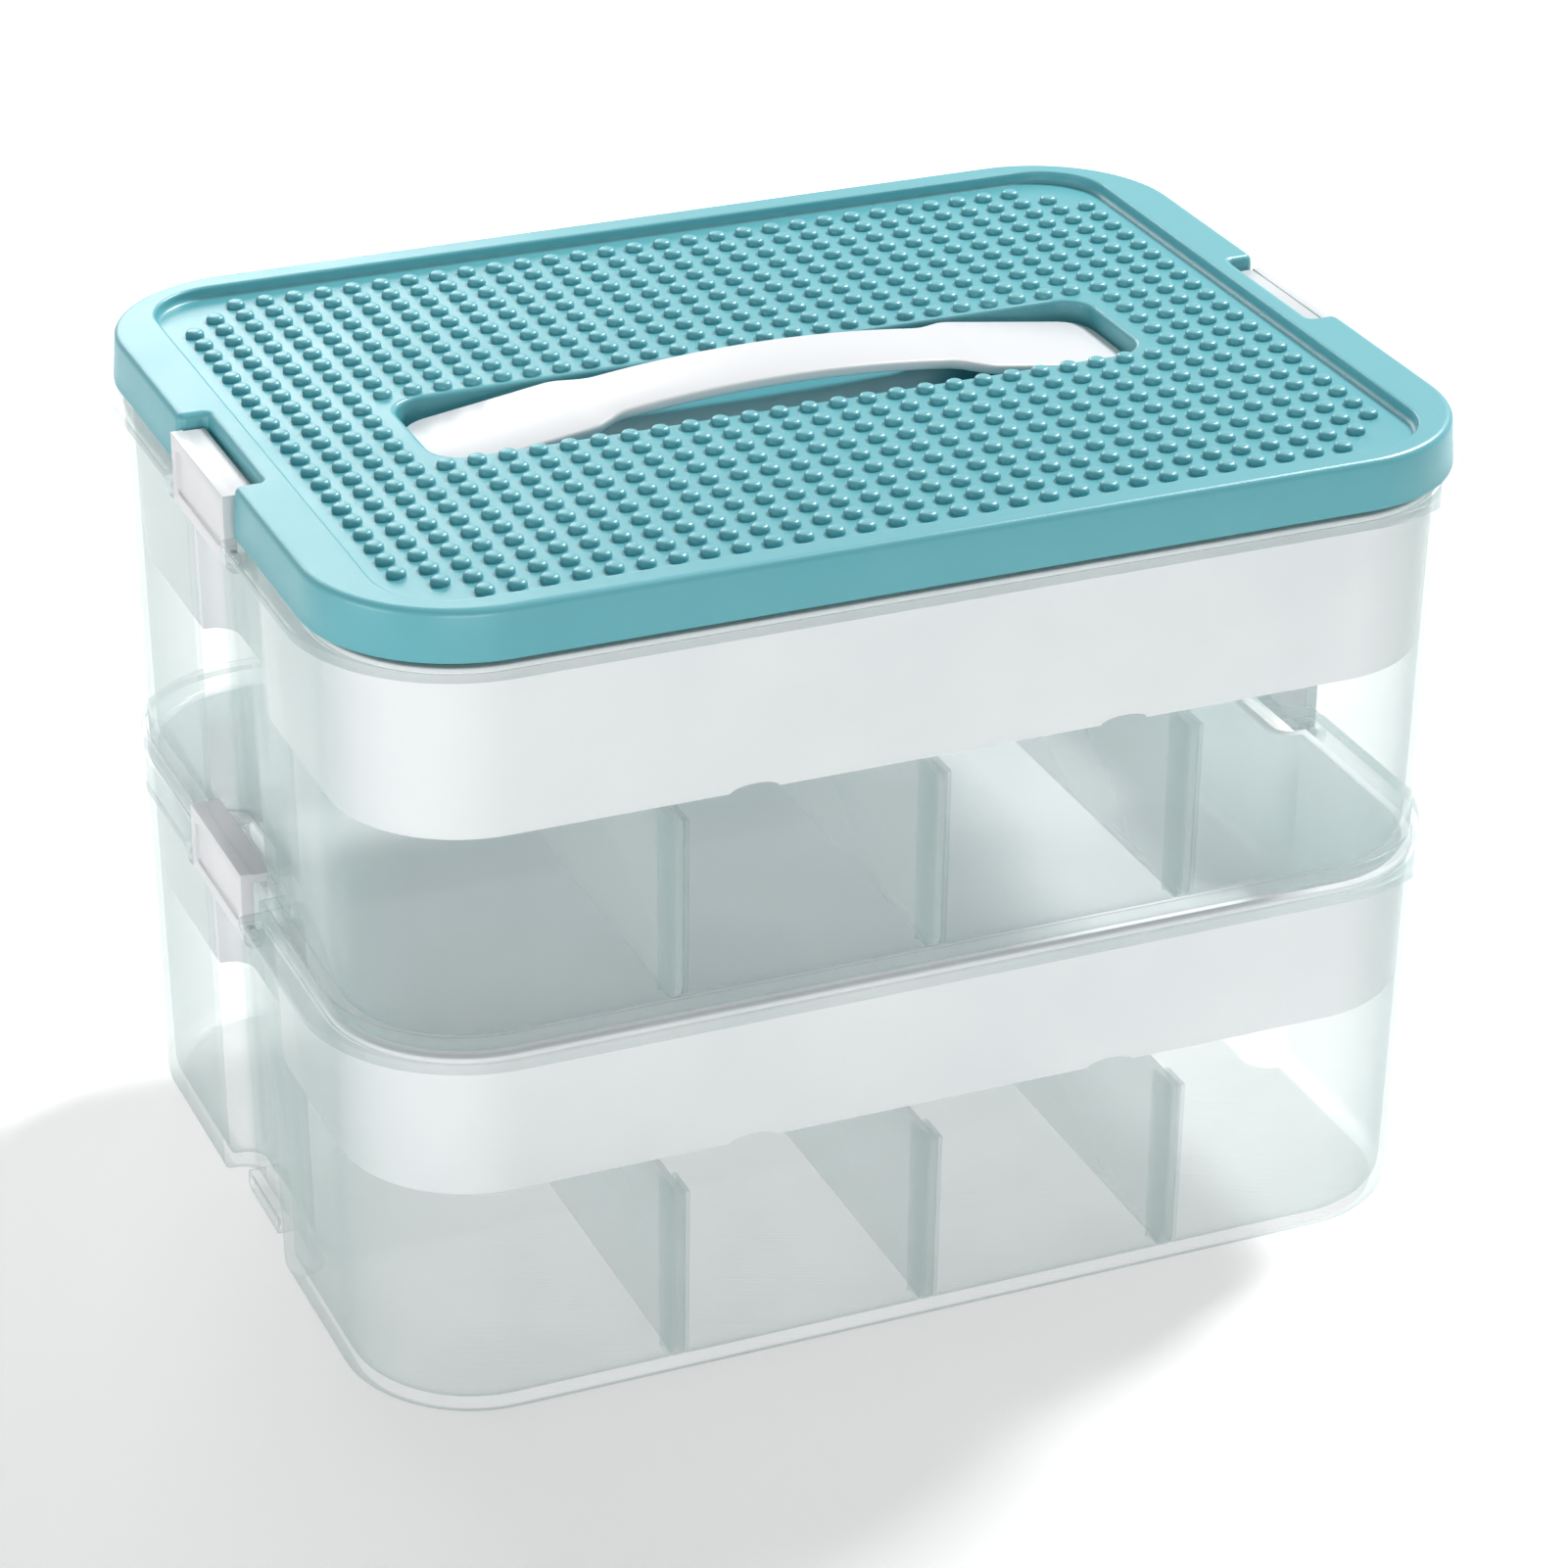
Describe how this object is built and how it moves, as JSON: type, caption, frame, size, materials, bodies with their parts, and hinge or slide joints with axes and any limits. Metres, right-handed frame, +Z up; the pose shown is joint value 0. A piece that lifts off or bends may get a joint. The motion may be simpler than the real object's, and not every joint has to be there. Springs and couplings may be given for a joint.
{
  "type": "building block storage box",
  "caption": "Two-tier clear storage box with lift-out trays, loose dividers, end latches, and a studded lid with a carrying strap in a well.",
  "frame": {"origin": "on the floor under the middle of the lower box", "axes": "+X along the length, towards the right-hand latches; +Y from front to back; +Z up"},
  "size_m": [0.3072, 0.2328, 0.2232],
  "materials": {
    "clear_plastic": "clear polypropylene, slightly cool, glossy",
    "tray_plastic": "cool white, satin",
    "white_plastic": "white, smooth",
    "lid_plastic": "soft teal, satin"
  },
  "bodies": {
    "lower_box": {"lower_box": "clear_plastic"},
    "lower_tray": {"lower_tray": "tray_plastic"},
    "lower_divider_left": {"lower_divider_left": "clear_plastic"},
    "lower_divider_middle": {"lower_divider_middle": "clear_plastic"},
    "lower_divider_right": {"lower_divider_right": "clear_plastic"},
    "lower_latch_left": {"lower_latch_left": "white_plastic"},
    "lower_latch_right": {"lower_latch_right": "white_plastic"},
    "upper_box": {"upper_box": "clear_plastic"},
    "upper_tray": {"upper_tray": "tray_plastic"},
    "upper_divider_left": {"upper_divider_left": "clear_plastic"},
    "upper_divider_middle": {"upper_divider_middle": "clear_plastic"},
    "upper_divider_right": {"upper_divider_right": "clear_plastic"},
    "upper_latch_left": {"upper_latch_left": "white_plastic"},
    "upper_latch_right": {"upper_latch_right": "white_plastic"},
    "lid": {"lid": "lid_plastic"},
    "handle": {"handle": "white_plastic"}
  },
  "joints": [
    {"name": "lower_tray_lift", "type": "slide", "parent": "lower_box", "child": "lower_tray", "axis": [0, 0, 1], "range_m": [0, 0.115]},
    {"name": "lower_divider_left_lift", "type": "slide", "parent": "lower_box", "child": "lower_divider_left", "axis": [0, 0, 1], "range_m": [0, 0.107]},
    {"name": "lower_divider_middle_lift", "type": "slide", "parent": "lower_box", "child": "lower_divider_middle", "axis": [0, 0, 1], "range_m": [0, 0.107]},
    {"name": "lower_divider_right_lift", "type": "slide", "parent": "lower_box", "child": "lower_divider_right", "axis": [0, 0, 1], "range_m": [0, 0.107]},
    {"name": "lower_latch_left_hinge", "type": "hinge", "parent": "lower_box", "child": "lower_latch_left", "pos_m": [-0.1502, 0, 0.0995], "axis": [0, -1, 0], "range_deg": [0, 110]},
    {"name": "lower_latch_right_hinge", "type": "hinge", "parent": "lower_box", "child": "lower_latch_right", "pos_m": [0.1502, 0, 0.0995], "axis": [0, 1, 0], "range_deg": [0, 110]},
    {"name": "upper_box_lift", "type": "slide", "parent": "lower_tray", "child": "upper_box", "axis": [0, 0, 1], "range_m": [0, 0.04]},
    {"name": "upper_tray_lift", "type": "slide", "parent": "upper_box", "child": "upper_tray", "axis": [0, 0, 1], "range_m": [0, 0.115]},
    {"name": "upper_divider_left_lift", "type": "slide", "parent": "upper_box", "child": "upper_divider_left", "axis": [0, 0, 1], "range_m": [0, 0.107]},
    {"name": "upper_divider_middle_lift", "type": "slide", "parent": "upper_box", "child": "upper_divider_middle", "axis": [0, 0, 1], "range_m": [0, 0.107]},
    {"name": "upper_divider_right_lift", "type": "slide", "parent": "upper_box", "child": "upper_divider_right", "axis": [0, 0, 1], "range_m": [0, 0.107]},
    {"name": "upper_latch_left_hinge", "type": "hinge", "parent": "upper_box", "child": "upper_latch_left", "pos_m": [-0.1502, 0, 0.2025], "axis": [0, -1, 0], "range_deg": [0, 110]},
    {"name": "upper_latch_right_hinge", "type": "hinge", "parent": "upper_box", "child": "upper_latch_right", "pos_m": [0.1502, 0, 0.2025], "axis": [0, 1, 0], "range_deg": [0, 110]},
    {"name": "lid_lift", "type": "slide", "parent": "upper_tray", "child": "lid", "axis": [0, 0, 1], "range_m": [0, 0.04]},
    {"name": "handle_raise", "type": "slide", "parent": "lid", "child": "handle", "axis": [0, 0, 1], "range_m": [0, 0.008]}
  ],
  "couplings": [
    {"joint": "lower_divider_left_lift", "follows": "lower_tray_lift", "ratio": 0.93},
    {"joint": "lower_divider_middle_lift", "follows": "lower_tray_lift", "ratio": 0.93},
    {"joint": "lower_divider_right_lift", "follows": "lower_tray_lift", "ratio": 0.93},
    {"joint": "upper_divider_left_lift", "follows": "upper_tray_lift", "ratio": 0.93},
    {"joint": "upper_divider_middle_lift", "follows": "upper_tray_lift", "ratio": 0.93},
    {"joint": "upper_divider_right_lift", "follows": "upper_tray_lift", "ratio": 0.93}
  ]
}
